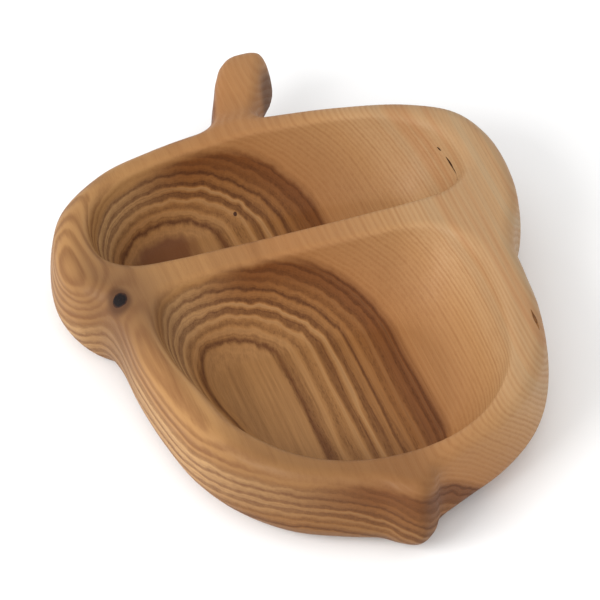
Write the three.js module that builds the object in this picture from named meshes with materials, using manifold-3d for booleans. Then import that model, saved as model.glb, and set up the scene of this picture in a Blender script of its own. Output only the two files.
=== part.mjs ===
// A shallow divided bowl in the shape of an acorn, carved from one plank. The cap and the nut each
// hold a hollow, a straight partition stands between them, a bent stem is the handle and a small
// point ends the nut. Two knots and a bark pocket sit in the board as plugs of their own.
// Millimetres, +Z up, +Y from the point to the stem. The bowl stands on its flat base.
import * as THREE from "three";
import { mergeVertices } from "three/addons/utils/BufferGeometryUtils.js";
import Module from "manifold-3d";

const wasm = await Module();
wasm.setup();

// Driving dimensions
const BOWL_HEIGHT = 43; // plank thickness after planing
const RIM_ROUND = 5.5; // radius of the outer edge of the rim
const BASE_ROUND = 15; // radius where the wall turns into the base
const WALL_BULGE = 2.2; // how far the wall swells out at half height
const FLOOR_THICKNESS = 11;
const POCKET_DEPTH = BOWL_HEIGHT - FLOOR_THICKNESS;
const FIT_GAP = 0.3; // between a plug and its hole
const OUTLINE_STEPS = 132; // points round the bowl
const POCKET_STEPS = 72; // points round a hollow
const SPILL = 4; // how far a cutter stands out of the surface it cuts
const PLUG_TAPER = 0.15;
const ALONG_GRAIN = new THREE.Vector3(0, 1, 0);

// The wall shrinks towards this point, about this far inside it
const BOWL_CENTRE = new THREE.Vector2(0, -28);
const MEAN_REACH = 98;

// Outline at the rim, each side listed from the point up to the stem. It is carved by eye: the
// waist between nut and cap sits lower on the right than on the left.
const POINT_END = [0, -157.5];
const STEM_END = [0, 82.5];
// How far the walls of each hollow slope in from brim to floor, and how much of that is straight
const CAP_POCKET_RUN = 24;
const NUT_POCKET_RUN = 28;
const STRAIGHT_SHARE = 0.35;
const PLUG_SIDES = 14;
const RIGHT_SIDE = [
  [7.5, -152.5], [12, -146], [25, -139], [48, -127.5], [66.5, -112], [79, -91.5], [85, -66],
  [86.5, -44], [87.6, -28.5], [92.3, -15.5], [98.3, -2.5], [101.3, 18], [99.5, 40], [91, 57.5],
  [72, 69], [43, 76.8], [20, 80.5],
];
const LEFT_SIDE = [
  [-7.5, -154], [-14, -148.5], [-28, -142.8], [-49.5, -131.8], [-67.5, -113], [-78.5, -91],
  [-83.8, -66], [-86.3, -40], [-86.8, -17], [-89.8, -4.5], [-97.5, 4.5], [-101.3, 18],
  [-98.5, 37.5], [-88.5, 56.5], [-67, 71], [-43, 77.5], [-20, 81],
];

// Right half of each hollow's edge, from its stem side round to its point side
const CAP_POCKET_HALF = [
  [0, 71.5], [24, 69.8], [44, 67.3], [64, 61.5], [77, 52], [84, 38], [83.5, 22], [75, 13.5],
  [58, 9.2], [36, 8.4], [0, 8],
];
const NUT_POCKET_HALF = [
  [0, -4], [32, -4.4], [50, -5.8], [63, -12], [71, -27], [72.5, -46], [70, -68], [62, -96],
  [46, -118], [26, -130.5], [0, -135],
];

// The nut's hollow runs wider at its left corner, where these points replace the mirrored ones
const NUT_POCKET_LEFT = [[-34, -4.4], [-54, -5.4], [-68, -10.5], [-75, -25], [-75, -46]];

const WOOD = new THREE.MeshStandardMaterial({ color: 0xb8854f, roughness: 0.45, metalness: 0 });
const DARK_KNOT = new THREE.MeshStandardMaterial({ color: 0x2a1c18, roughness: 0.5, metalness: 0 });
const BARK = new THREE.MeshStandardMaterial({ color: 0x5a3a22, roughness: 0.8, metalness: 0 });

// Turns a closed geometry into a solid that can be joined and cut
function toSolid(geometry) {
  const bare = geometry.index ? geometry.clone() : geometry;
  bare.deleteAttribute("normal");
  bare.deleteAttribute("uv");
  const merged = mergeVertices(bare, 1e-5);
  return new wasm.Manifold(
    new wasm.Mesh({
      numProp: 3,
      vertProperties: new Float32Array(merged.attributes.position.array),
      triVerts: new Uint32Array(merged.index.array),
    }),
  );
}

function toGeometry(solid) {
  const mesh = solid.getMesh();
  const geometry = new THREE.BufferGeometry();
  geometry.setAttribute("position", new THREE.BufferAttribute(mesh.vertProperties, 3));
  geometry.setIndex(new THREE.BufferAttribute(mesh.triVerts, 1));
  geometry.computeVertexNormals();
  return geometry;
}

// Smooth closed curve through points listed counter-clockwise seen from above
function closedOutline(corners, steps) {
  const loop = corners.map(([x, y]) => new THREE.Vector3(x, y, 0));
  const curve = new THREE.CatmullRomCurve3(loop, true, "centripetal");
  return curve.getSpacedPoints(steps).slice(0, steps);
}

function mirroredLoop(rightHalf, leftStart = []) {
  const mirrored = rightHalf.slice(1, -1).map(([x, y]) => [-x, y]);
  return [...rightHalf.toReversed(), ...leftStart, ...mirrored.slice(leftStart.length)];
}

// Skin over rings of equal count, listed from the bottom up, closed by a fan at each end
function loft(rings) {
  const count = rings[0].length;
  const points = rings.flat();
  const faces = [];
  for (let r = 0; r + 1 < rings.length; r++) {
    for (let i = 0; i < count; i++) {
      const a = r * count + i;
      const b = r * count + ((i + 1) % count);
      faces.push(a, b, b + count, a, b + count, a + count);
    }
  }
  for (const [ring, flip] of [[0, true], [rings.length - 1, false]]) {
    const centre = new THREE.Vector3();
    rings[ring].forEach((p) => centre.addScaledVector(p, 1 / count));
    const hub = points.push(centre) - 1;
    for (let i = 0; i < count; i++) {
      const a = ring * count + i;
      const b = ring * count + ((i + 1) % count);
      faces.push(hub, flip ? b : a, flip ? a : b);
    }
  }
  const geometry = new THREE.BufferGeometry();
  geometry.setFromPoints(points);
  geometry.setIndex(faces);
  return geometry;
}

// How far the outer wall stands inside the rim outline at height z
function wallInset(z) {
  const fromTop = Math.max(0, z - (BOWL_HEIGHT - RIM_ROUND));
  const fromBase = Math.max(0, BASE_ROUND - z);
  const rimTurn = RIM_ROUND - Math.sqrt(RIM_ROUND ** 2 - fromTop ** 2);
  const baseTurn = BASE_ROUND - Math.sqrt(BASE_ROUND ** 2 - fromBase ** 2);
  return rimTurn + baseTurn - WALL_BULGE * Math.sin((Math.PI * z) / BOWL_HEIGHT);
}

// Heights of the outer wall's rings: close together where the wall turns
function wallHeights() {
  const quarter = Math.PI / 2;
  const base = [0, 0.2, 0.4, 0.6, 0.8, 1].map((t) => BASE_ROUND * (1 - Math.cos(quarter * t)));
  const rim = [0, 0.25, 0.5, 0.75, 1].map((t) => RIM_ROUND * (Math.sin(quarter * t) - 1));
  const middle = [21, 28];
  return [...base, ...middle, ...rim.map((z) => BOWL_HEIGHT + z)];
}

function acornBlank() {
  const corners = [POINT_END, ...RIGHT_SIDE, STEM_END, ...LEFT_SIDE.toReversed()];
  const outline = closedOutline(corners, OUTLINE_STEPS);
  const rings = wallHeights().map((z) => {
    const scale = 1 - wallInset(z) / MEAN_REACH;
    return outline.map(
      (p) =>
        new THREE.Vector3(
          BOWL_CENTRE.x + (p.x - BOWL_CENTRE.x) * scale,
          BOWL_CENTRE.y + (p.y - BOWL_CENTRE.y) * scale,
          z,
        ),
    );
  });
  return toSolid(loft(rings));
}

// The stem: round sections along a bent centre line, widest at both ends
const STEM_STATIONS = [
  { x: -0.5, y: 72, z: 30, across: 16, high: 12.3 },
  { x: 0.8, y: 82, z: 30, across: 14, high: 12.3 },
  { x: 2.8, y: 91, z: 30, across: 11.6, high: 11.8 },
  { x: 5.8, y: 99, z: 30, across: 10.9, high: 11.6 },
  { x: 9.6, y: 106, z: 30, across: 11.6, high: 12 },
  { x: 13, y: 112.5, z: 30, across: 12.3, high: 12.2 },
  { x: 15.4, y: 119, z: 30, across: 11.4, high: 11.2 },
  { x: 17.2, y: 124.5, z: 30, across: 8, high: 8 },
  { x: 18, y: 127.5, z: 30, across: 3, high: 3 },
];
const STEM_SIDES = 24;

function stem() {
  const rings = STEM_STATIONS.map((station, i) => {
    const before = STEM_STATIONS[Math.max(0, i - 1)];
    const after = STEM_STATIONS[Math.min(STEM_STATIONS.length - 1, i + 1)];
    const along = new THREE.Vector2(after.x - before.x, after.y - before.y).normalize();
    const ring = [];
    for (let k = 0; k < STEM_SIDES; k++) {
      const angle = (2 * Math.PI * k) / STEM_SIDES;
      const side = station.across * Math.cos(angle);
      const rise = station.high * Math.sin(angle);
      ring.push(new THREE.Vector3(station.x - along.y * side, station.y + along.x * side, station.z + rise));
    }
    return ring;
  });
  return toSolid(loft(rings));
}

// Cutter for one hollow: its walls lean in and turn into a flat floor
function pocketCutter(loop, run) {
  const outline = closedOutline(loop, POCKET_STEPS);
  const box = new THREE.Box3().setFromPoints(outline);
  const centre = box.getCenter(new THREE.Vector3());
  const reach = box.getSize(new THREE.Vector3()).multiplyScalar(0.5);
  const depths = [1, 0.985, 0.94, 0.86, 0.74, 0.58, 0.38, 0.18, 0];
  const rings = depths.map((t) => {
    const inset = run * (STRAIGHT_SHARE * t + (1 - STRAIGHT_SHARE) * (1 - Math.sqrt(1 - t * t)));
    return outline.map(
      (p) =>
        new THREE.Vector3(
          centre.x + (p.x - centre.x) * (1 - inset / reach.x),
          centre.y + (p.y - centre.y) * (1 - inset / reach.y),
          BOWL_HEIGHT - POCKET_DEPTH * t,
        ),
    );
  });
  rings.push(outline.map((p) => new THREE.Vector3(p.x, p.y, BOWL_HEIGHT + SPILL)));
  return toSolid(loft(rings));
}

// A tapered plug that points from inside the board out through its surface. Its section is
// stretched along the grain.
function plug({ at, out, radius, depth, stretch }, grow) {
  const length = depth + SPILL + grow;
  const outerRadius = radius * (1 + (PLUG_TAPER * SPILL) / depth) + grow;
  const innerRadius = radius * (1 - PLUG_TAPER) + grow;
  const geometry = new THREE.CylinderGeometry(outerRadius, innerRadius, length, PLUG_SIDES);
  const outward = new THREE.Vector3(...out).normalize();
  const side = new THREE.Vector3().crossVectors(outward, ALONG_GRAIN).normalize();
  const along = new THREE.Vector3().crossVectors(side, outward);
  geometry.translate(0, (SPILL - depth - grow) / 2, 0);
  geometry.scale(1, 1, stretch);
  geometry.applyMatrix4(new THREE.Matrix4().makeBasis(side, outward, along));
  geometry.translate(...at);
  return toSolid(geometry);
}

const INCLUSIONS = [
  {
    name: "rim_knot",
    material: DARK_KNOT,
    at: [-84.7, -7, 42.3],
    out: [-0.25, -0.15, 1],
    radius: 3.6,
    depth: 10,
    stretch: 1.05,
  },
  {
    name: "pin_knot",
    material: DARK_KNOT,
    at: [-11, 54.5, 13.5],
    out: [0, -0.5, 0.85],
    radius: 1.1,
    depth: 4,
    stretch: 1.2,
  },
  {
    name: "bark_pocket",
    material: BARK,
    at: [80.2, -77, 42.4],
    out: [0.38, -0.1, 0.9],
    radius: 1.3,
    depth: 4,
    stretch: 5,
  },
];

function addPiece(group, name, solid, material) {
  const mesh = new THREE.Mesh(toGeometry(solid), material);
  mesh.name = name;
  group.add(mesh);
}

function bowl() {
  const carved = acornBlank()
    .add(stem())
    .subtract(pocketCutter(mirroredLoop(CAP_POCKET_HALF), CAP_POCKET_RUN))
    .subtract(pocketCutter(mirroredLoop(NUT_POCKET_HALF, NUT_POCKET_LEFT), NUT_POCKET_RUN));
  const group = new THREE.Group();
  let body = carved;
  for (const inclusion of INCLUSIONS) {
    const filling = carved.intersect(plug(inclusion, 0));
    body = body.subtract(plug(inclusion, FIT_GAP));
    addPiece(group, inclusion.name, filling, inclusion.material);
  }
  addPiece(group, "bowl_body", body, WOOD);
  const box = new THREE.Box3().setFromObject(group);
  const centre = box.getCenter(new THREE.Vector3());
  group.position.set(-centre.x, -centre.y, -box.min.z);
  return group;
}

export default bowl();
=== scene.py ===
"""Looks of the acorn-shaped divided bowl: one carved board, two knots and a bark pocket.

The carved body is rebuilt as a fine smooth surface from the solids' outlines, heights and depths,
with a slightly shorter and squarer stem. The wood is a solid texture: growth rings round a pith
axis that runs below the left side. Shapes are worked out in millimetres in the carver's frame
(x across, y from the point to the stem, zero on the middle line near the partition) and placed in
the object's frame in metres.
"""

import math

import bmesh
import bpy
import numpy as np
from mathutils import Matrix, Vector
from mathutils.bvhtree import BVHTree


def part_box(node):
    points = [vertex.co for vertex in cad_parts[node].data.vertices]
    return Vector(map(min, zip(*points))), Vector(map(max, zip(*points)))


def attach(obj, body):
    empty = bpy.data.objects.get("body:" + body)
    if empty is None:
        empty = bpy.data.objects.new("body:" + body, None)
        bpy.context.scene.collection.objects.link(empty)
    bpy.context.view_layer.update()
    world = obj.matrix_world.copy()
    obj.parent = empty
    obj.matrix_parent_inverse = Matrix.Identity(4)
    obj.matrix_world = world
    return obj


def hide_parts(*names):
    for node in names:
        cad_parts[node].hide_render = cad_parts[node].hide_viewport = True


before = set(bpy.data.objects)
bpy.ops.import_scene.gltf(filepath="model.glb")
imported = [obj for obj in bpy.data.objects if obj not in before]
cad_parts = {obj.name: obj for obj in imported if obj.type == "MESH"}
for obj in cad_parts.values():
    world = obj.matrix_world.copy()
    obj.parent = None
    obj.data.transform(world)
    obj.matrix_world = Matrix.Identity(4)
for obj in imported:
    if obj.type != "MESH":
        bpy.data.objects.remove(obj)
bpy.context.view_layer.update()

MM = 0.001

# ---------------------------------------------------------------------------------------------
# Driving dimensions of the carving, in millimetres
# ---------------------------------------------------------------------------------------------
BODY_LOW, BODY_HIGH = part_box("bowl_body")
HEIGHT = (BODY_HIGH.z - BODY_LOW.z) / MM
RIM_ROUND = 5.5
BASE_ROUND = 15.0
BASE_STEEPNESS = 0.97  # below 1 so that the wall meets the base at a small angle
BASE_EDGE_ROUND = 2.0
WALL_BULGE = 2.2
FLOOR_THICKNESS = 11.0
POCKET_DEPTH = HEIGHT - FLOOR_THICKNESS
LEFT_RIM_EXTRA = 2.5  # the rim is sanded rounder at the left shoulder
LEFT_SHOULDER = (55, 92)  # this far left it sets in, and is complete
EDGE_ROUND = 1.0  # sanded edge of the hollows
END_EDGE_EXTRA = 3.0  # softer at the hollows' left and right ends
HOLLOW_ENDS = (48, 74)  # this far from the middle that sets in, and is complete
STEM_FILLET = 9.0
BOWL_CENTRE = (0.0, -28.0)  # the wall shrinks towards this point
MEAN_REACH = 98.0

POINT_END = (0, -157.5)
STEM_END = (0, 82.5)
RIGHT_SIDE = [
    (7.5, -152.5), (12, -146), (25, -139), (48, -127.5), (66.5, -112), (79, -91.5), (85, -66),
    (86.5, -44), (87.6, -28.5), (92.3, -15.5), (98.3, -2.5), (101.3, 18), (99.5, 40), (91, 57.5),
    (72, 69), (43, 76.8), (20, 80.5),
]
LEFT_SIDE = [
    (-7.5, -154), (-14, -148.5), (-28, -142.8), (-49.5, -131.8), (-67.5, -113), (-78.5, -91),
    (-83.8, -66), (-86.3, -40), (-86.8, -17), (-89.8, -4.5), (-97.5, 4.5), (-101.3, 18),
    (-98.5, 37.5), (-88.5, 56.5), (-67, 71), (-43, 77.5), (-20, 81),
]
CAP_POCKET_HALF = [
    (0, 71.5), (24, 69.8), (44, 67.3), (64, 61.5), (77, 52), (84, 38), (83.5, 22), (75, 13.5),
    (58, 9.2), (36, 8.4), (0, 8),
]
NUT_POCKET_HALF = [
    (0, -4), (32, -4.4), (50, -5.8), (63, -12), (71, -27), (72.5, -46), (70, -68), (62, -96),
    (46, -118), (26, -130.5), (0, -135),
]
NUT_POCKET_LEFT = [(-34, -4.4), (-54, -5.4), (-68, -10.5), (-75, -25), (-75, -46)]
# How far a hollow's wall leans in from rim to floor, and the share of it that is a plain slope
CAP_POCKET_RUN = 24.0
NUT_POCKET_RUN = 28.0
STRAIGHT_SHARE = 0.35

# Middle line of the stem: (x, y, height, radius)
STEM_LINE = [
    (0, 74, 30.0, 12.2), (0.8, 84, 29.8, 11.3), (3.2, 93, 29.8, 10.3), (6.4, 100.5, 30.0, 10.2),
    (10.4, 107, 30.2, 11.3), (13.8, 111.8, 30.2, 11.9), (15.8, 114.2, 30.2, 11.6),
]
# The head's right shoulder is cut off on a slope: the slope's direction and its distance from
# the head's centre
FLANK_CENTRE, FLANK_FACING, FLANK_DISTANCE = (13.0, 112.0, 30.2), (0.8, -0.4, 0.4), 9.6
FLANK_ROUND = 3.0
STEM_SQUARENESS = 2.8  # 2 would give a round section

# Knots and bark, let into the wood as low domes
INLAY_RISE = 0.26  # height of the dome from its edge to its middle
INLAY_SINK = 0.10  # how far its edge sits below the wood
INLAY_DEPTH = 2.0
INLAY_RIDGE = 0.04  # fine ridges on its top
INLAY_SEARCH = 6.0  # the wood's surface is looked for from this far above it
INLAY_RINGS, INLAY_SPOKES = 9, 44

# How finely shapes are drawn
CELL = 1.25  # size of the lattice that the surface is drawn from
LATTICE_LOW, LATTICE_HIGH = (-106, -163), (106, 136)  # across and along, past the outline
LATTICE_MARGIN = 2.5 * CELL  # air on every side
LATTICE_BOTTOM = -1.5 * CELL
SMOOTHING_ROUNDS = 4
PULL, PUSH_BACK = 0.5, -0.52  # shares of the way to the neighbours' middle
OUTLINE_POINTS, POCKET_POINTS = 480, 300
STEM_BALLS = 61  # the stem is drawn as this many squarish balls along its middle line
HALVINGS = 18
OUTSIDE_SEARCH = -10.0  # how far outside a hollow's edge its slope is still worked out
DEPTH_STEPS = 400


# ---------------------------------------------------------------------------------------------
# Curves and distances
# ---------------------------------------------------------------------------------------------
def closed_curve(corners, count, fineness=24):
    """Even points on the centripetal Catmull-Rom curve through a closed loop of corners."""
    corners = np.array(corners, float)
    total = len(corners)
    pieces = []
    for i in range(total):
        p = [corners[(i + k) % total] for k in (-1, 0, 1, 2)]
        knots = [0.0]
        for a, b in zip(p, p[1:]):
            knots.append(knots[-1] + np.linalg.norm(b - a) ** 0.5)
        t = np.linspace(knots[1], knots[2], fineness + 1)[:-1, None]

        def blend(a, b, start, end):
            return (end - t) / (end - start) * a + (t - start) / (end - start) * b

        first = [blend(p[k], p[k + 1], knots[k], knots[k + 1]) for k in range(3)]
        second = [blend(first[k], first[k + 1], knots[k], knots[k + 2]) for k in range(2)]
        pieces.append(blend(second[0], second[1], knots[1], knots[2]))
    dense = np.concatenate(pieces)
    loop = np.vstack([dense, dense[:1]])
    length = np.r_[0, np.cumsum(np.linalg.norm(np.diff(loop, axis=0), axis=1))]
    even = np.linspace(0, length[-1], count + 1)[:-1]
    return np.stack([np.interp(even, length, loop[:, k]) for k in (0, 1)], 1)


def mirrored_loop(right_half, left_start=()):
    """A closed loop from its right half; left_start replaces the first points of the mirror."""
    left = [(-x, y) for x, y in right_half[1:-1]]
    left[: len(left_start)] = left_start
    return right_half[::-1] + left


def polygon_distance(points, polygon, block_size=20000):
    """Distance to a closed polygon, negative inside, worked out in blocks to save memory."""
    following = np.roll(polygon, -1, 0)
    edge = following - polygon
    edge_square = (edge**2).sum(1)
    distance = np.empty(len(points))
    for start in range(0, len(points), block_size):
        block = points[start : start + block_size]
        offset = block[:, None] - polygon[None]
        along = np.clip((offset * edge).sum(2) / edge_square, 0, 1)
        nearest = ((offset - along[..., None] * edge) ** 2).sum(2).min(1) ** 0.5
        x, y = block[:, :1], block[:, 1:]
        spans = (polygon[:, 1] > y) != (following[:, 1] > y)
        crossing_x = polygon[:, 0] + (y - polygon[:, 1]) * edge[:, 0] / (edge[:, 1] + 1e-12)
        inside = (spans & (x < crossing_x)).sum(1) % 2 == 1
        distance[start : start + block_size] = np.where(inside, -nearest, nearest)
    return distance


class DistanceMap:
    """A curve's signed distance, looked up from a fine grid."""

    def __init__(self, curve, margin=14.0, step=0.75):
        self.step = step
        self.low = curve.min(0) - margin
        counts = np.ceil((curve.max(0) + margin - self.low) / step).astype(int) + 1
        axes = [self.low[k] + step * np.arange(counts[k]) for k in (0, 1)]
        x, y = np.meshgrid(*axes, indexing="ij")
        points = np.stack([x.ravel(), y.ravel()], 1)
        self.values = polygon_distance(points, curve).reshape(x.shape)

    def __call__(self, x, y):
        """Distance at each place; past the grid's edge the way back to it is added."""
        place = [(x - self.low[0]) / self.step, (y - self.low[1]) / self.step]
        outside = 0.0
        cells = []
        parts = []
        for value, count in zip(place, self.values.shape):
            inner = np.clip(value, 0, count - 1.001)
            outside = np.hypot(outside, value - inner)
            cells.append(inner.astype(int))
            parts.append(inner - cells[-1])
        (i, j), (a, b), v = cells, parts, self.values
        near = v[i, j] * (1 - a) * (1 - b) + v[i + 1, j] * a * (1 - b)
        far = v[i, j + 1] * (1 - a) * b + v[i + 1, j + 1] * a * b
        return near + far + self.step * outside


def smoothstep(value, start, end):
    """0 up to the start, 1 from the end on, with an easy rise between them."""
    share = np.clip((value - start) / (end - start), 0, 1)
    return share**2 * (3 - 2 * share)


def round_intersection(a, b, radius):
    """Both solids at once, with a rounded edge where they meet."""
    corner = np.hypot(np.maximum(a + radius, 0), np.maximum(b + radius, 0))
    return np.minimum(np.maximum(a, b), -radius) + corner


def smooth_union(a, b, radius):
    """Either solid, with a fillet where they meet."""
    corner = np.hypot(np.maximum(radius - a, 0), np.maximum(radius - b, 0))
    return np.maximum(np.minimum(a, b), radius) - corner


# ---------------------------------------------------------------------------------------------
# The carving
# ---------------------------------------------------------------------------------------------
def wall_scale(z):
    """How large the outline is at height z, from the swell and the turn into the base."""
    turn = np.clip((BASE_ROUND - z) / BASE_ROUND, 0, 1) * BASE_STEEPNESS
    inset = BASE_ROUND * (1 - np.sqrt(1 - turn**2))
    inset -= WALL_BULGE * np.sin(math.pi * np.clip(z / HEIGHT, 0, 1))
    return 1 - inset / MEAN_REACH


def pocket_inset(depth, run):
    """How far the hollow's wall has leaned in at a depth from 0 at the rim to 1 at the floor."""
    turned = 1 - np.sqrt(1 - depth**2)
    return run * (STRAIGHT_SHARE * depth + (1 - STRAIGHT_SHARE) * turned)


def pocket_surface(x, y, loop, run):
    """Height of a hollow's wall and floor under each place, rising steeply outside its edge.

    The inset of a place, found by halving, is how far the edge shrinks before it reaches it."""
    curve = closed_curve(loop, POCKET_POINTS)
    distance = DistanceMap(curve)
    centre = (curve.max(0) + curve.min(0)) / 2
    reach = (curve.max(0) - curve.min(0)) / 2
    low = np.full(x.shape, OUTSIDE_SEARCH)
    high = np.full(x.shape, run)
    for _ in range(HALVINGS):
        middle = (low + high) / 2
        grown_x = centre[0] + (x - centre[0]) / (1 - middle / reach[0])
        grown_y = centre[1] + (y - centre[1]) / (1 - middle / reach[1])
        outside = distance(grown_x, grown_y) > 0
        high = np.where(outside, middle, high)
        low = np.where(outside, low, middle)
    inset = (low + high) / 2
    depths = np.linspace(0, 1, DEPTH_STEPS)
    depth = np.interp(inset, pocket_inset(depths, run), depths)
    rim_slope = POCKET_DEPTH / (STRAIGHT_SHARE * run)
    return np.where(inset < 0, HEIGHT - inset * rim_slope, HEIGHT - POCKET_DEPTH * depth)


def stem_distance(x, y, z):
    """Distance to the bent stem before its shoulder is cut, negative inside."""
    line = np.array(STEM_LINE, float)
    steps = np.linspace(0, len(line) - 1, STEM_BALLS)
    dense = np.stack([np.interp(steps, np.arange(len(line)), line[:, k]) for k in range(4)], 1)
    distance = np.full(np.broadcast(x, y, z).shape, np.inf)
    for px, py, pz, radius in dense:
        powers = (abs(side) ** STEM_SQUARENESS for side in (x - px, y - py, z - pz))
        away = sum(powers) ** (1 / STEM_SQUARENESS)
        distance = np.minimum(distance, away - radius)
    return distance


def wall_distance(x, y, zs):
    """Distance to the outer wall at each height, negative inside."""
    outline = [POINT_END, *RIGHT_SIDE, STEM_END, *LEFT_SIDE[::-1]]
    distance = DistanceMap(closed_curve(outline, OUTLINE_POINTS))
    wall = np.empty((*x.shape, len(zs)))
    for k, z in enumerate(zs):
        scale = wall_scale(z)
        grown_x = BOWL_CENTRE[0] + (x - BOWL_CENTRE[0]) / scale
        grown_y = BOWL_CENTRE[1] + (y - BOWL_CENTRE[1]) / scale
        wall[:, :, k] = distance(grown_x, grown_y) * scale
    return wall


def flank_distance(x, y, z):
    """Distance to the sloping plane that cuts the stem's head, negative on the wood's side."""
    centre_x, centre_y, centre_z = FLANK_CENTRE
    facing_x, facing_y, facing_z = Vector(FLANK_FACING).normalized()
    sideways = (x - centre_x) * facing_x + (y - centre_y) * facing_y
    return sideways + (z - centre_z) * facing_z - FLANK_DISTANCE


def carving_field(xs, ys, zs):
    """Negative in wood, positive in air, on a lattice of places."""
    x, y = np.meshgrid(xs, ys, indexing="ij")
    z = zs[None, None, :]
    in_3d = (x[..., None], y[..., None], z)
    stem = round_intersection(stem_distance(*in_3d), flank_distance(*in_3d), FLANK_ROUND)
    solid = smooth_union(wall_distance(x, y, zs), stem, STEM_FILLET)
    leftness = smoothstep(-x, *LEFT_SHOULDER)[..., None]
    solid = round_intersection(solid, z - HEIGHT, RIM_ROUND + LEFT_RIM_EXTRA * leftness)
    solid = round_intersection(solid, -z, BASE_EDGE_ROUND)
    endness = smoothstep(np.abs(x), *HOLLOW_ENDS)[..., None]
    edge_round = EDGE_ROUND + END_EDGE_EXTRA * endness
    cap_loop = mirrored_loop(CAP_POCKET_HALF)
    nut_loop = mirrored_loop(NUT_POCKET_HALF, NUT_POCKET_LEFT)
    for loop, run in ((cap_loop, CAP_POCKET_RUN), (nut_loop, NUT_POCKET_RUN)):
        surface = pocket_surface(x, y, loop, run)
        slope_x, slope_y = np.gradient(surface, xs, ys)
        steepness = np.sqrt(1 + slope_x**2 + slope_y**2)
        above = (z - surface[..., None]) / steepness[..., None]
        solid = round_intersection(solid, above, edge_round)
    return solid


def surface_net(field, axes):
    """Quads on the zero level of a lattice: one point in each cell that the surface crosses."""
    shape = np.array(field.shape)
    strides = np.array([shape[1] * shape[2], shape[2], 1])
    unit = np.eye(3, dtype=int)
    cells = []
    places = []
    quads = []
    for axis in range(3):
        u, v = unit[(axis + 1) % 3], unit[(axis + 2) % 3]
        low = [slice(None)] * 3
        high = [slice(None)] * 3
        low[axis] = slice(None, -1)
        high[axis] = slice(1, None)
        start, end = field[tuple(low)], field[tuple(high)]
        crossing = np.argwhere((start < 0) != (end < 0))
        a = start[tuple(crossing.T)]
        b = end[tuple(crossing.T)]
        place = crossing.astype(float)
        place[:, axis] += a / (a - b)
        around = [(crossing - step) @ strides for step in (0 * u, u, u + v, v)]
        for ids in around:
            cells.append(ids)
            places.append(place)
        ring = np.stack(around, 1)
        quads.append(np.where((a < 0)[:, None], ring, ring[:, ::-1]))
    ids, where = np.unique(np.concatenate(cells), return_inverse=True)
    places = np.concatenate(places)
    count = np.bincount(where)
    mean = np.stack([np.bincount(where, places[:, k]) / count for k in range(3)], 1)
    points = np.stack(
        [np.interp(mean[:, k], np.arange(len(axes[k])), axes[k]) for k in range(3)], 1
    )
    return points, np.searchsorted(ids, np.concatenate(quads))


def relax(points, quads):
    """Takes the lattice's stair steps out without shrinking the shape (Taubin smoothing)."""
    edges = np.concatenate([quads[:, [k, (k + 1) % 4]] for k in range(4)])
    degree = np.bincount(edges[:, 0], minlength=len(points)).astype(float)[:, None]
    for _ in range(SMOOTHING_ROUNDS):
        for strength in (PULL, PUSH_BACK):
            ends = points[edges[:, 1]]
            total = [np.bincount(edges[:, 0], ends[:, k], len(points)) for k in range(3)]
            points = points + strength * (np.stack(total, 1) / degree - points)
    return points


def mesh_piece(name, points, faces, material):
    """A smooth-shaded object from points in metres."""
    mesh = bpy.data.meshes.new(name)
    mesh.from_pydata([tuple(p) for p in points], [], [tuple(f) for f in faces])
    mesh.validate()
    mesh.shade_smooth()
    mesh.materials.append(material)
    piece = bpy.data.objects.new(name, mesh)
    bpy.context.scene.collection.objects.link(piece)
    return piece


# The carver's frame sits this far along Y in the object's frame
NOSE = BOWL_CENTRE[1] + (POINT_END[1] - BOWL_CENTRE[1]) * (1 + WALL_BULGE / MEAN_REACH)
SHIFT_Y = BODY_LOW.y / MM - NOSE


def to_frame(points):
    """Places in the object's frame, in metres, from places in the carver's frame."""
    return (np.asarray(points, float) + np.array([0, SHIFT_Y, 0])) * MM


def carved_body(material):
    """The board with its hollows, stem and tip, as one closed surface."""
    xs, ys = (
        np.arange(low - LATTICE_MARGIN, high + LATTICE_MARGIN, CELL)
        for low, high in zip(LATTICE_LOW, LATTICE_HIGH)
    )
    zs = np.arange(LATTICE_BOTTOM, HEIGHT + LATTICE_MARGIN, CELL)
    points, quads = surface_net(carving_field(xs, ys, zs), (xs, ys, zs))
    points = relax(points, quads)
    piece = mesh_piece("bowl_body_carved", to_frame(points), quads, material)
    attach(piece, "root")
    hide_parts("bowl_body")
    return piece


def inlay_points(wood, at, reach, pointed, lumps):
    """Points on rings round a plug's middle: those on its dome, then those on its underside."""
    middle, outward, _, _ = wood.find_nearest(Vector(to_frame(at)))
    across = Vector((0, 1, 0)).cross(outward).normalized()
    grain = outward.cross(across)
    top, bottom = [], []
    for ring in range(INLAY_RINGS + 1):
        share = ring / INLAY_RINGS
        for spoke in range(INLAY_SPOKES):
            angle = 2 * math.pi * spoke / INLAY_SPOKES
            lengthwise, crosswise = math.cos(angle), math.sin(angle)
            powers = abs(lengthwise) ** pointed + abs(crosswise) ** pointed
            round_off = powers ** (-1 / pointed)
            wobble = 1 + lumps * (math.sin(2 * angle + 0.7) + 0.6 * math.sin(3 * angle))
            length = share * round_off * wobble
            edge = grain * lengthwise * reach[0] + across * crosswise * reach[1]
            above = middle + (edge * length + outward * INLAY_SEARCH) * MM
            place, normal, _, _ = wood.ray_cast(above, -outward)
            dome = INLAY_RISE * (1 - share**3) - INLAY_SINK
            ridge = INLAY_RIDGE * math.sin(5 * angle + 9 * share) * (1 - share)
            top.append(place + normal * (dome + ridge) * MM)
            bottom.append(place - normal * INLAY_DEPTH * MM)
    return top + bottom


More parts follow.
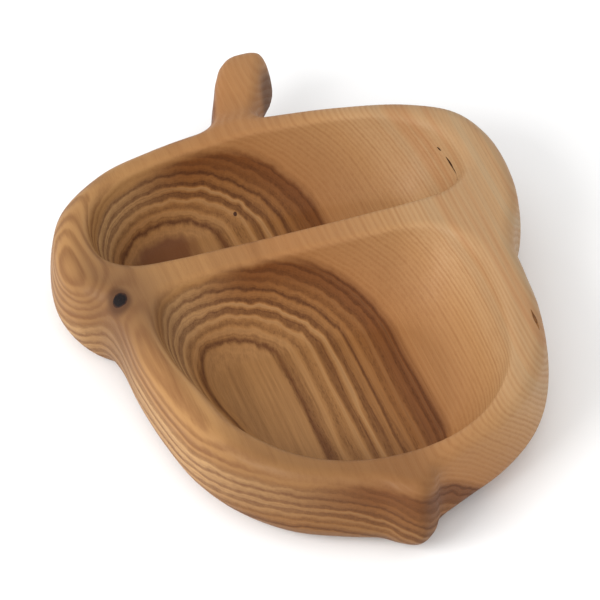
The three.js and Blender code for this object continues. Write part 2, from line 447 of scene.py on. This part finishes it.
def inlay_faces():
    """Quads over the dome, the underside and the rim between them."""
    under = (INLAY_RINGS + 1) * INLAY_SPOKES
    faces = []
    for ring in range(INLAY_RINGS + 1):
        for spoke in range(INLAY_SPOKES):
            a = ring * INLAY_SPOKES + spoke
            b = ring * INLAY_SPOKES + (spoke + 1) % INLAY_SPOKES
            if ring == INLAY_RINGS:
                faces.append((a, under + a, under + b, b))
                continue
            outer_a, outer_b = a + INLAY_SPOKES, b + INLAY_SPOKES
            faces.append((a, outer_a, outer_b, b))
            faces.append((under + b, under + outer_b, under + outer_a, under + a))
    return faces


def inlay(node, material, wood, at, reach, pointed=2.0, lumps=0.0):
    """A plug let into the wood: a low dome that follows the surface and closes below it.

    reach is (along the grain, across it); pointed below 2 gives the outline sharp ends."""
    points = inlay_points(wood, at, reach, pointed, lumps)
    piece = mesh_piece(node + "_inlay", points, inlay_faces(), material)
    # The innermost ring's points lie on one spot and become one
    editing = bmesh.new()
    editing.from_mesh(piece.data)
    bmesh.ops.remove_doubles(editing, verts=editing.verts, dist=1e-7)
    bmesh.ops.recalc_face_normals(editing, faces=editing.faces)
    editing.to_mesh(piece.data)
    editing.free()
    piece.data.shade_smooth()
    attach(piece, "root")
    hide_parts(node)
    return piece


# ---------------------------------------------------------------------------------------------
# Materials
# ---------------------------------------------------------------------------------------------
SHEEN = 0.15  # oiled wood reflects less than varnish


class Shader:
    """Adds linked shader nodes, so that a material reads as a list of steps."""

    def __init__(self, name):
        self.material = bpy.data.materials.new(name)
        self.material.use_nodes = True
        self.tree = self.material.node_tree
        self.tree.nodes.clear()
        output = self.tree.nodes.new("ShaderNodeOutputMaterial")
        self.surface = self.tree.nodes.new("ShaderNodeBsdfPrincipled")
        self.surface.inputs["Specular IOR Level"].default_value = SHEEN
        self.tree.links.new(self.surface.outputs[0], output.inputs[0])

    def plug(self, socket, value):
        """Links a socket to a node's output, or sets it to a value; None leaves it alone."""
        if isinstance(value, bpy.types.NodeSocket):
            self.tree.links.new(value, socket)
        elif value is not None:
            socket.default_value = value

    def math(self, operation, a, b=None, c=None, clamp=False):
        node = self.tree.nodes.new("ShaderNodeMath")
        node.operation = operation
        node.use_clamp = clamp
        for socket, value in zip(node.inputs, (a, b, c)):
            self.plug(socket, value)
        return node.outputs[0]

    def waver(self, noise, span, value, clamp=False):
        """The value moved up and down by a noise whose middle is one half."""
        return self.math("MULTIPLY_ADD", self.math("SUBTRACT", noise, 0.5), span, value, clamp)

    def vector(self, operation, a, b=None):
        node = self.tree.nodes.new("ShaderNodeVectorMath")
        node.operation = operation
        self.plug(node.inputs[0], a)
        if b is not None:
            self.plug(node.inputs[1], b)
        gives_number = operation in ("LENGTH", "DISTANCE", "DOT_PRODUCT")
        return node.outputs[1] if gives_number else node.outputs[0]

    def place(self):
        """Place in the carver's frame, in millimetres."""
        coordinates = self.tree.nodes.new("ShaderNodeTexCoord").outputs["Object"]
        millimetres = self.vector("MULTIPLY", coordinates, (1 / MM,) * 3)
        return self.vector("SUBTRACT", millimetres, (0, SHIFT_Y, 0))

    def split(self, vector):
        node = self.tree.nodes.new("ShaderNodeSeparateXYZ")
        self.plug(node.inputs[0], vector)
        return node.outputs

    def join(self, x, y, z):
        node = self.tree.nodes.new("ShaderNodeCombineXYZ")
        for socket, value in zip(node.inputs, (x, y, z)):
            self.plug(socket, value)
        return node.outputs[0]

    def noise(self, vector, scale=1.0, detail=2.0, roughness=0.5):
        node = self.tree.nodes.new("ShaderNodeTexNoise")
        self.plug(node.inputs["Vector"], vector)
        self.plug(node.inputs["Scale"], scale)
        self.plug(node.inputs["Detail"], detail)
        self.plug(node.inputs["Roughness"], roughness)
        return node.outputs[0]

    def white(self, value):
        """A number from 0 to 1 that is the same wherever the value is the same."""
        node = self.tree.nodes.new("ShaderNodeTexWhiteNoise")
        node.noise_dimensions = "1D"
        self.plug(node.inputs["W"], value)
        return node.outputs[0]

    def span(self, value, low, high, to_low=0.0, to_high=1.0, smooth=True):
        """The value's way from low to high, turned into a way from to_low to to_high."""
        node = self.tree.nodes.new("ShaderNodeMapRange")
        node.interpolation_type = "SMOOTHSTEP" if smooth else "LINEAR"
        for socket, item in zip(node.inputs, (value, low, high, to_low, to_high)):
            self.plug(socket, item)
        return node.outputs[0]

    def hump(self, value, low, top_low, top_high, high, foot=0.0):
        """Rises from 0 at low to 1, and falls from top_high on to the foot at high."""
        falling = self.span(value, top_high, high, 1.0, foot)
        return self.math("MULTIPLY", self.span(value, low, top_low), falling)

    def ramp(self, value, stops):
        node = self.tree.nodes.new("ShaderNodeValToRGB")
        elements = node.color_ramp.elements
        while len(elements) < len(stops):
            elements.new(1.0)
        for element, (place, colour) in zip(elements, stops):
            element.position = place
            element.color = (*colour, 1.0)
        self.plug(node.inputs[0], value)
        return node.outputs[0]

    def mix(self, share, a, b):
        """A share of colour b over colour a."""
        node = self.tree.nodes.new("ShaderNodeMix")
        node.data_type = "RGBA"
        self.plug(node.inputs[0], share)
        self.plug(node.inputs[6], (*a, 1.0) if isinstance(a, tuple) else a)
        self.plug(node.inputs[7], (*b, 1.0) if isinstance(b, tuple) else b)
        return node.outputs[2]

    def bump(self, height, depth_mm):
        node = self.tree.nodes.new("ShaderNodeBump")
        node.inputs["Strength"].default_value = 1.0
        node.inputs["Distance"].default_value = depth_mm * MM
        self.plug(node.inputs["Height"], height)
        return node.outputs[0]

    def sliver(self, place, start, end, half_width):
        """1 inside a spindle from start to end, 0 outside it."""
        start, end = Vector(start), Vector(end)
        run = end - start
        offset = self.vector("SUBTRACT", place, tuple(start))
        share = self.vector("DOT_PRODUCT", offset, tuple(run / run.length_squared))
        along = self.math("ADD", share, 0.0, clamp=True)
        nearest = self.vector("MULTIPLY", self.join(along, along, along), tuple(run))
        away = self.vector("LENGTH", self.vector("SUBTRACT", offset, nearest))
        bow = self.math("SINE", self.math("MULTIPLY", along, math.pi))
        edge = self.math("MULTIPLY_ADD", bow, -half_width, away)
        return self.span(edge, 0.0, SLIVER_EDGE, 1.0, 0.0)

    def finish(self, colour, roughness, normal):
        self.plug(self.surface.inputs["Base Color"], colour)
        self.plug(self.surface.inputs["Roughness"], roughness)
        self.plug(self.surface.inputs["Normal"], normal)
        return self.material


def srgb(red, green, blue):
    """Linear colour from 0-255 screen values."""
    return tuple((c / 255 / 12.92) if c <= 10 else ((c / 255 + 0.055) / 1.055) ** 2.4
                 for c in (red, green, blue))


# The pith runs along the grain, below and left of the bowl
PITH_X, PITH_Z = -45.6, -44.3
PITH_LEAN_X, PITH_LEAN_Z = -0.044, 0.0165  # sideways and upward drift along the grain
PITH_REFERENCE_Y = -30.0

# Growth rings, counted outwards
FIRST_RING = 59.0  # radius of the first dark line that the hollows cut
RINGS_PER_MM = 0.1955  # at that first line
CROWDING = 0.00126  # rings get narrower outwards
HEART_RADIUS = 93.5
SAP_EXTRA_RINGS = 0.2  # per millimetre, because the sapwood grew slowly
LEFT_HEART_SHORTER = 11.0  # the heartwood ends nearer the pith on the left
STEM_END_HEART_SHORTER = 3.0  # and a little nearer towards the stem
UNEVEN_RINGS = 0.5  # how far the ring widths stray, in rings
LUCK_SEEDS = (0.0, 31.7, 77.3)  # three chance numbers for each ring
# Faint lines inside a ring: (middle, half width, greatest darkness), as shares of the ring
FAINT_LINES = [(0.42, 0.15, 0.65), (0.64, 0.14, 0.6), (0.84, 0.12, 0.4)]

# How far whole rings drift, and how far sloping cuts ripple, in millimetres
SLOW_DRIFT = 2.2
HEART_RIPPLE, SAP_RIPPLE = 3.6, 1.0
DRIFT_GRAIN, RIPPLE_GRAIN = (0.035, 0.008, 0.035), (0.155, 0.018, 0.155)
KNOT_SWERVE, KNOT_SWERVE_SPREAD = 6.0, 70.0  # rings pass further out beside the knot

# Noise scales across, along and through the board; how much each moves light towards dark
FIBRE_GRAIN, FIBRE_CONTRAST = (1.9, 0.05, 1.9), 0.5
STREAK_GRAIN, STREAK_CONTRAST = (0.55, 0.014, 0.55), 0.7
PORE_GRAIN, PORE_SHARE = (3.4, 0.30, 3.4), 0.35
WOOD_ROUGHNESS = 0.47
WOOD_RELIEF = 0.12  # millimetres
SLIVER_EDGE = 0.22  # millimetres over which a crack's edge fades

# Colours of earlywood and latewood by ring radius, from the oldest wood out to the bark
RAMP_RANGE = (50.0, 150.0)
LIGHT_WOOD = [
    (50, (158, 117, 76)), (60, (153, 112, 69)), (72, (144, 100, 56)), (82, (132, 86, 44)),
    (88, (112, 67, 31)), (93, (106, 61, 27)), (97, (150, 104, 62)), (110, (154, 111, 70)),
    (122, (162, 121, 79)), (131, (168, 131, 91)), (150, (162, 128, 91)),
]
DARK_WOOD = [
    (50, (107, 69, 38)), (60, (98, 60, 31)), (72, (92, 55, 27)), (82, (78, 43, 19)),
    (93, (72, 38, 15)), (97, (129, 82, 44)), (110, (132, 87, 50)), (122, (140, 97, 58)),
    (131, (148, 107, 69)), (150, (146, 109, 73)),
]
# Left heartwood colours: the wood's greyer tone, made lighter as painted light for the hollows'
# shaded left walls
LEFT_HEART_PALE_WITH_PAINTED_LIGHT, LEFT_HEART_DARK_WITH_PAINTED_LIGHT = srgb(178, 140, 94), srgb(122, 85, 57)
LEFT_SAP_LIGHT, LEFT_SAP_DARK = srgb(154, 114, 70), srgb(122, 83, 49)
OLDEST_WOOD = srgb(100, 60, 33)
CREAM_LINE = srgb(184, 142, 94)
PORE_COLOUR = srgb(70, 38, 16)
ORANGE_BAND, PALE_BAND = srgb(152, 102, 62), srgb(160, 134, 101)
# colour of the painted shade on the pointed tip and the stem's right flank
PAINTED_SHADE_BROWN = srgb(88, 54, 27)
KNOT_SURROUND, KNOT_HALO = srgb(102, 70, 44), srgb(64, 38, 24)
CRACK_SHADE = srgb(52, 28, 12)
DEAD_KNOT, DEAD_KNOT_RING, DEAD_KNOT_EDGE = srgb(10, 7, 9), srgb(24, 14, 13), srgb(66, 39, 24)
BARK_DARK, BARK_LIGHT = srgb(70, 38, 18), srgb(142, 96, 52)

KNOT_PLACE = (-84.7, -7.0, 42.3)
KNOT_SMEAR = 4.5  # the stain's middle lies this far left of the knot
# middle of the painted shade on the stem's right flank
STEM_FLANK_SHADE_PLACE = (27.0, 105.0, 26.0)
PIN_KNOT_PLACE = (-11.0, 54.5, 13.5)
BARK_PLACE = (80.2, -77.0, 42.4)
# Each as (start, end, half width in the middle)
DRYING_CHECKS = [
    ((78.7, 44.8, 34.3), (79.5, 42.4, 34.0), 0.25),
    ((80.5, 38.8, 33.2), (81.4, 31.0, 32.7), 0.42),
    ((81.4, 32.0, 32.7), (80.2, 23.2, 33.8), 0.32),
]


def ring_stops(pairs):
    """Colour ramp stops from pairs of ring radius and screen colour."""
    low, high = RAMP_RANGE
    return [((radius - low) / (high - low), srgb(*colour)) for radius, colour in pairs]


def distance_from_pith(s, place):
    """Sideways distance from the leaning pith, and ring radius."""
    x, y, z = s.split(place)
    along = s.math("SUBTRACT", y, PITH_REFERENCE_Y)
    from_x = s.math("SUBTRACT", x, s.math("MULTIPLY_ADD", along, PITH_LEAN_X, PITH_X))
    from_z = s.math("SUBTRACT", z, s.math("MULTIPLY_ADD", along, PITH_LEAN_Z, PITH_Z))
    return from_x, s.vector("LENGTH", s.join(from_x, 0.0, from_z))


def disturbed_radius(s, place, radius, knot_far):
    """Whole rings drift, a ripple makes sloping cuts jagged, and the knot pushes rings aside."""
    slow = s.noise(s.vector("MULTIPLY", place, DRIFT_GRAIN), 1.0, 1.0)
    ripple = s.noise(s.vector("MULTIPLY", place, RIPPLE_GRAIN), 1.0, 2.0, 0.5)
    ripple_size = s.span(radius, 88.0, 100.0, HEART_RIPPLE, SAP_RIPPLE)
    radius = s.waver(slow, SLOW_DRIFT, radius)
    radius = s.waver(ripple, ripple_size, radius)
    square = s.math("POWER", knot_far, 2.0)
    swerve = s.math("EXPONENT", s.math("MULTIPLY", square, -1 / KNOT_SWERVE_SPREAD))
    return s.math("MULTIPLY_ADD", swerve, -KNOT_SWERVE, radius)


def ring_count(s, radius):
    """Rings from the first dark line out to this radius; its fraction is the place in a ring."""
    beyond = s.math("SUBTRACT", radius, FIRST_RING)
    ring = s.math("MULTIPLY", beyond, s.math("MULTIPLY_ADD", beyond, CROWDING, RINGS_PER_MM))
    in_sap = s.math("MAXIMUM", s.math("SUBTRACT", radius, HEART_RADIUS), 0.0)
    ring = s.math("MULTIPLY_ADD", in_sap, SAP_EXTRA_RINGS, ring)
    uneven = s.noise(s.join(radius, 3.7, 0.0), 0.22, 1.0)
    return s.waver(uneven, UNEVEN_RINGS, ring)


def heart_radius(s, from_x, y, radius):
    """The ring radius, stretched so that the heartwood ends at HEART_RADIUS everywhere."""
    sideways = s.span(from_x, -10.0, 60.0, LEFT_HEART_SHORTER, 0.0)
    endways = s.span(y, 5.0, 35.0, 0.0, STEM_END_HEART_SHORTER)
    return s.math("ADD", radius, s.math("ADD", sideways, endways))


def zone_colours(s, from_x, radius, from_heart, sap):
    """Light and dark wood across the log: pale old heart, dark young heart, pale sapwood.

    Left of the pith the heartwood is greyer, and lighter partly in its own tone and partly as
    painted light on the hollows' left walls, which the lamps leave in shade; the sapwood there is
    plainly striped."""
    across = s.span(from_heart, *RAMP_RANGE, smooth=False)
    light = s.ramp(across, ring_stops(LIGHT_WOOD))
    dark = s.ramp(across, ring_stops(DARK_WOOD))
    # partly painted light: the left heartwood is lightened where the hollows' left walls lie in
    # shade
    left = s.math("MULTIPLY", s.span(from_x, -30.0, 25.0, 0.9, 0.0), s.span(radius, 61.0, 72.0))
    left_heart_with_painted_light = s.math("MULTIPLY", left, s.math("SUBTRACT", 1.0, sap))
    left_sap = s.math("MULTIPLY", s.span(from_x, -20.0, 50.0, 0.9, 0.0), sap)
    light = s.mix(left_sap, s.mix(left_heart_with_painted_light, light, LEFT_HEART_PALE_WITH_PAINTED_LIGHT), LEFT_SAP_LIGHT)
    dark = s.mix(left_sap, s.mix(left_heart_with_painted_light, dark, LEFT_HEART_DARK_WITH_PAINTED_LIGHT), LEFT_SAP_DARK)
    return light, dark


def heart_darkness(s, radius, part, lucks):
    """A soft dark line of pores, then fainter lines of chance strength.

    Returns the darkness, and how far a place lies in the porous start of its ring."""
    line = s.hump(part, 0.0, 0.26, 0.26, 0.7)
    darkness = s.math("MULTIPLY", line, s.math("MULTIPLY_ADD", lucks[1], 0.5, 0.34))
    for (middle, half_width, strongest), luck in zip(FAINT_LINES, lucks):
        off = s.math("ABSOLUTE", s.math("SUBTRACT", part, middle))
        faint = s.math("MULTIPLY", s.span(off, 0.0, half_width, strongest, 0.0), luck)
        darkness = s.math("MAXIMUM", darkness, faint)
    early = s.hump(part, 0.0, 0.17, 0.2, 0.85)
    early_darkness = s.math("MULTIPLY", early, s.math("MULTIPLY_ADD", lucks[0], 0.3, 0.22))
    darkness = s.math("ADD", s.math("MAXIMUM", darkness, early_darkness), 0.08)
    # Good and bad years come in runs, and the oldest wood is nearly plain
    years = s.noise(s.join(radius, 8.1, 0.0), 0.09, 1.0)
    darkness = s.math("MULTIPLY", darkness, s.span(years, 0.35, 0.65, 0.7, 1.35))
    return s.math("MULTIPLY", darkness, s.span(radius, 56.5, 59.0, 0.3, 1.0)), early


def sap_darkness(s, from_x, radius, part, luck):
    """One broad soft stripe in each ring, plainest at the left and half way to the bark."""
    stripe = s.hump(part, 0.0, 0.3, 0.35, 0.9)
    darkness = s.math("MULTIPLY", stripe, s.math("MULTIPLY_ADD", luck, 0.5, 0.25))
    inner = s.span(radius, 104, 126, 0.35, 0.9)
    strength = s.math("MULTIPLY", inner, s.span(radius, 140, 160, 1.0, 0.5))
    strength = s.math("MAXIMUM", strength, s.span(from_x, -40.0, -5.0, 1.4, 0.3))
    return s.math("MULTIPLY", darkness, strength)


def pore_marks(s, place, radius, sap, early):
    """Short dashes along the grain, in the porous start of the heartwood's rings."""
    pore = s.noise(s.vector("MULTIPLY", place, PORE_GRAIN), 1.0, 1.0)
    zone = s.math("MULTIPLY_ADD", early, 1.3, 0.1, clamp=True)
    zone = s.math("MULTIPLY", zone, s.math("MULTIPLY_ADD", sap, -0.8, 1.0))
    zone = s.math("MULTIPLY", zone, s.span(radius, 56.0, 59.0, 0.3, 1.0))
    return s.math("MULTIPLY", s.span(pore, 0.58, 0.70), zone)


def cream_lines(s, part, luck, from_heart, colour):
    """A cream line closes some rings of the heartwood, up to its dark outer band."""
    cream = s.hump(part, 0.55, 0.88, 0.91, 1.0, foot=0.2)
    cream = s.math("MULTIPLY", cream, s.span(luck, 0.2, 0.9, 0.05, 0.4))
    cream = s.math("MULTIPLY", cream, s.span(from_heart, 80.0, 87.0, 1.0, 0.15))
    return s.mix(cream, colour, CREAM_LINE)


def near_bark_bands(s, radius, y, colour):
    """Bands of several rings differ near the bark: some orange, some pale."""
    band = s.noise(s.join(radius, 5.3, s.math("MULTIPLY", y, 0.012)), 0.2, 1.0)
    outer = s.span(radius, 128, 150)
    orange = s.math("MULTIPLY", outer, s.span(band, 0.52, 0.64, 0.0, 0.45))
    pale = s.math("MULTIPLY", outer, s.span(band, 0.38, 0.48, 0.6, 0.0))
    return s.mix(pale, s.mix(orange, colour, ORANGE_BAND), PALE_BAND)


def painted_shade_ends(s, place, from_x, y, colour):
    """Painted shade: the pointed tip and the stem's right flank are darkened in colour, standing in
    for shade that the lamps don't give there.
    """
    near_point = s.span(y, -125.0, -80.0, 0.5, 0.0)
    tip = s.math("MULTIPLY", near_point, s.span(from_x, 40.0, 62.0, 1.0, 0.0))
    from_flank = s.vector("LENGTH", s.vector("SUBTRACT", place, STEM_FLANK_SHADE_PLACE))
    flank = s.span(from_flank, 9.0, 17.0, 0.85, 0.0)
    return s.mix(s.math("MAXIMUM", tip, flank), colour, PAINTED_SHADE_BROWN)


def knot_stain(s, to_knot, knot_far, colour):
    """Dark wood round the dead knot, smeared to its left."""
    smear = s.vector("ADD", to_knot, (KNOT_SMEAR, 0.0, 0.0))
    smear = s.vector("LENGTH", s.vector("MULTIPLY", smear, (0.5, 1.0, 0.5)))
    halo = s.span(knot_far, 3.4, 6.5, 0.75, 0.0)
    halo = s.math("MAXIMUM", halo, s.span(smear, 1.0, 4.5, 0.6, 0.0))
    colour = s.mix(s.span(knot_far, 5.0, 34.0, 0.75, 0.0), colour, KNOT_SURROUND)
    return s.mix(halo, colour, KNOT_HALO)


def drying_checks(s, place):
    """1 in the cracks that have opened along the grain at the cap hollow's right end."""
    cracks = [s.sliver(place, *check) for check in DRYING_CHECKS]
    opened = cracks[0]
    for crack in cracks[1:]:
        opened = s.math("MAXIMUM", opened, crack)
    return opened


def wood_material():
    """One oiled ash board, as a solid texture."""
    s = Shader("oiled_ash")
    place = s.place()
    y = s.split(place)[1]
    from_x, radius = distance_from_pith(s, place)
    to_knot = s.vector("SUBTRACT", place, KNOT_PLACE)
    knot_far = s.vector("LENGTH", s.vector("MULTIPLY", to_knot, (1.0, 0.7, 0.5)))
    radius = disturbed_radius(s, place, radius, knot_far)
    ring = ring_count(s, radius)
    number, part = s.math("FLOOR", ring), s.math("FRACT", ring)
    lucks = [s.white(s.math("ADD", number, seed)) for seed in LUCK_SEEDS]
    from_heart = heart_radius(s, from_x, y, radius)
    sap = s.span(from_heart, HEART_RADIUS - 1.5, HEART_RADIUS + 2.5)

    # Rings, fibres and streaks set how far each place lies from light to dark wood
    heart_dark, early = heart_darkness(s, radius, part, lucks)
    sap_dark = sap_darkness(s, from_x, radius, part, lucks[0])
    darkness = s.span(sap, 0.0, 1.0, heart_dark, sap_dark, smooth=False)
    fibre = s.noise(s.vector("MULTIPLY", place, FIBRE_GRAIN), 1.0, 2.0, 0.6)
    streak = s.noise(s.vector("MULTIPLY", place, STREAK_GRAIN), 1.0, 2.0, 0.5)
    darkness = s.waver(fibre, FIBRE_CONTRAST, darkness)
    darkness = s.waver(streak, STREAK_CONTRAST, darkness, clamp=True)
    light, dark = zone_colours(s, from_x, radius, from_heart, sap)
    colour = s.mix(darkness, light, dark)

    colour = cream_lines(s, part, lucks[2], from_heart, colour)
    oldest = s.math("MULTIPLY", s.span(radius, 55.0, 57.8, 0.95, 0.0), s.span(y, 0.0, 25.0))
    colour = s.mix(oldest, colour, OLDEST_WOOD)
    colour = near_bark_bands(s, radius, y, colour)
    pores = pore_marks(s, place, radius, sap, early)
    colour = s.mix(s.math("MULTIPLY", pores, PORE_SHARE), colour, PORE_COLOUR)
    # painted shade on the pointed tip and the stem's right flank
    colour = painted_shade_ends(s, place, from_x, y, colour)
    colour = knot_stain(s, to_knot, knot_far, colour)
    cracks = drying_checks(s, place)
    colour = s.mix(cracks, colour, CRACK_SHADE)

    roughness = s.waver(fibre, 0.25, WOOD_ROUGHNESS)
    roughness = s.math("MULTIPLY_ADD", early, 0.10, roughness)
    height = s.math("MULTIPLY_ADD", pores, -0.8, s.math("MULTIPLY", fibre, 0.6))
    height = s.math("MULTIPLY_ADD", early, -0.35, height)
    height = s.math("MULTIPLY_ADD", cracks, -3.0, height)
    return s.finish(colour, roughness, s.bump(height, WOOD_RELIEF))


def knot_material():
    """Almost black dead branch wood, browner at its ragged edge."""
    s = Shader("dead_knot_wood")
    place = s.place()
    away = s.vector("LENGTH", s.vector("SUBTRACT", place, KNOT_PLACE))
    grain = s.noise(place, 0.9, 4.0, 0.6)
    rings = s.math("FRACT", s.math("MULTIPLY_ADD", grain, 1.2, s.math("MULTIPLY", away, 0.7)))
    colour = s.mix(rings, DEAD_KNOT, DEAD_KNOT_RING)
    ragged = s.waver(grain, 3.0, away)
    colour = s.mix(s.span(ragged, 2.4, 4.3), colour, DEAD_KNOT_EDGE)
    return s.finish(colour, s.span(grain, 0.3, 0.7, 0.5, 0.7), s.bump(grain, 0.2))


def bark_material():
    """Crumbling ingrown bark, coarse along the grain."""
    s = Shader("ingrown_bark_crumble")
    grain = s.noise(s.vector("MULTIPLY", s.place(), (1.5, 0.35, 1.5)), 1.0, 4.0, 0.65)
    colour = s.mix(s.span(grain, 0.35, 0.65), BARK_DARK, BARK_LIGHT)
    return s.finish(colour, s.span(grain, 0.3, 0.7, 0.7, 0.95), s.bump(grain, 0.5))


# ---------------------------------------------------------------------------------------------
# Stage
# ---------------------------------------------------------------------------------------------
CAMERA_AIM = Vector((-11.6, -33.2 + SHIFT_Y, HEIGHT)) * MM
CAMERA_AZIMUTH = -19.2
CAMERA_ELEVATION = 44.6
CAMERA_DISTANCE = 8.0
VIEW_WIDTH = 0.258  # what the frame takes in at the aim point, in metres
CLIP_END = 40.0
# Soft boxes, as (azimuth, elevation, distance, size, power), aimed at the bowl
KEY_LIGHT = (-68, 34, 1.4, 0.8, 15.5)
FILL_LIGHT = (-10, 30, 1.6, 1.2, 4)
ROOM_BRIGHTNESS = 1.0
FLOOR_HALF = 3.0
FLOOR_ROUGHNESS = 0.8
FLOOR_DULL, FLOOR_BRIGHT = (0.86, 0.86, 0.86), (0.9, 0.9, 0.9)


def direction(azimuth, elevation):
    """Unit vector from the bowl; azimuth 0 is the side of the point, 90 the right."""
    a, e = math.radians(azimuth), math.radians(elevation)
    return Vector((math.sin(a) * math.cos(e), -math.cos(a) * math.cos(e), math.sin(e)))


def add_camera():
    """A long lens far away, because the bowl is seen with hardly any perspective."""
    data = bpy.data.cameras.new("camera")
    data.lens = data.sensor_width * CAMERA_DISTANCE / VIEW_WIDTH
    data.clip_end = CLIP_END
    camera = bpy.data.objects.new("camera", data)
    towards = direction(CAMERA_AZIMUTH, CAMERA_ELEVATION)
    camera.location = CAMERA_AIM + towards * CAMERA_DISTANCE
    camera.rotation_euler = towards.to_track_quat("Z", "Y").to_euler()
    bpy.context.scene.collection.objects.link(camera)
    bpy.context.scene.camera = camera


def add_light(name, azimuth, elevation, distance, size, power):
    data = bpy.data.lights.new(name, "AREA")
    data.size = size
    data.energy = power
    light = bpy.data.objects.new(name, data)
    towards = direction(azimuth, elevation)
    light.location = towards * distance
    light.rotation_euler = towards.to_track_quat("Z", "Y").to_euler()
    bpy.context.scene.collection.objects.link(light)


def add_room():
    """An evenly bright room with two soft boxes."""
    world = bpy.data.worlds.new("studio")
    world.use_nodes = True
    background = world.node_tree.nodes["Background"]
    background.inputs["Color"].default_value = (1, 1, 1, 1)
    background.inputs["Strength"].default_value = ROOM_BRIGHTNESS
    bpy.context.scene.world = world
    bpy.context.scene.view_settings.view_transform = "Standard"
    add_light("key", *KEY_LIGHT)
    add_light("fill", *FILL_LIGHT)


def add_floor():
    """A plain pale floor with a faint mottle."""
    s = Shader("pale_floor")
    mottle = s.noise(s.place(), 0.02, 2.0)
    material = s.finish(s.mix(mottle, FLOOR_DULL, FLOOR_BRIGHT), FLOOR_ROUGHNESS, None)
    corners = [(x * FLOOR_HALF, y * FLOOR_HALF, 0) for x, y in ((-1, -1), (1, -1), (1, 1), (-1, 1))]
    mesh_piece("floor", corners, [(0, 1, 2, 3)], material)


add_camera()
body = carved_body(wood_material())
wood_surface = BVHTree.FromPolygons(
    [v.co for v in body.data.vertices], [tuple(f.vertices) for f in body.data.polygons]
)
dead = knot_material()
bark = bark_material()
inlay("rim_knot", dead, wood_surface, KNOT_PLACE, (3.9, 4.4), lumps=0.09)
inlay("pin_knot", dead, wood_surface, PIN_KNOT_PLACE, (1.15, 1.0), lumps=0.05)
inlay("bark_pocket", bark, wood_surface, BARK_PLACE, (7.4, 0.95), pointed=1.3)
add_room()
add_floor()
